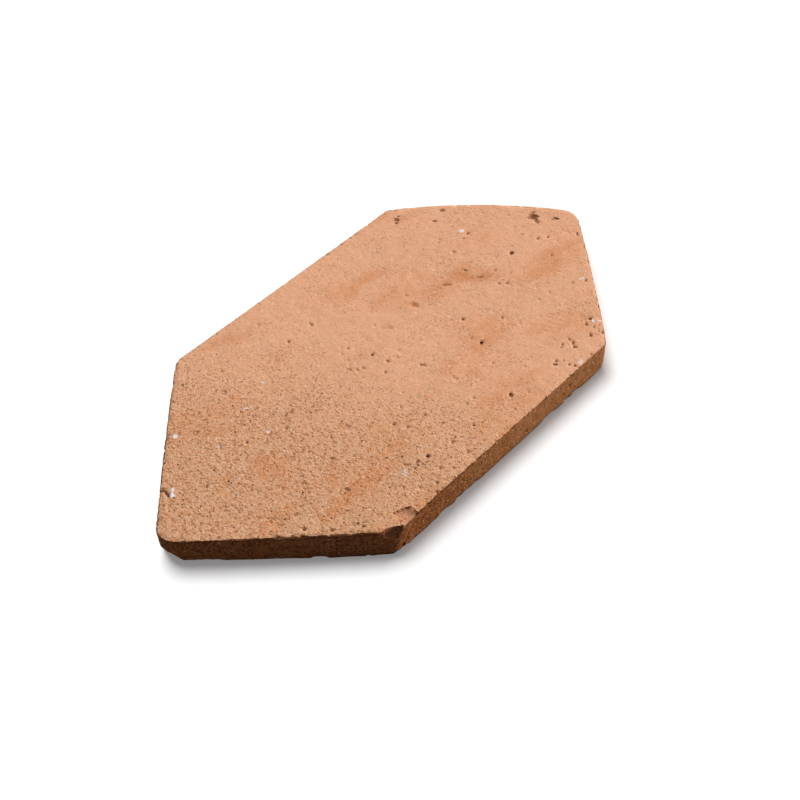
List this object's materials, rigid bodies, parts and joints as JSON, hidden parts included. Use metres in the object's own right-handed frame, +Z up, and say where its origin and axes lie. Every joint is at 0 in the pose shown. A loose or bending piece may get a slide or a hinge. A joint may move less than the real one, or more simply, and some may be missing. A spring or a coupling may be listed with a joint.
{
  "type": "terracotta floor tile",
  "caption": "Hand-pressed terracotta floor tile in a long pointed hexagon, with worn corners, chipped arrises and pits in its face.",
  "frame": {"origin": "centre of the underside, on the level that the tile rests on", "axes": "+X along the tile's length towards its more bowed point, +Y across it, +Z up out of its face"},
  "size_m": [0.288, 0.15, 0.018],
  "materials": {
    "terracotta": "matte"
  },
  "bodies": {
    "root": {"tile": "terracotta"}
  },
  "joints": []
}
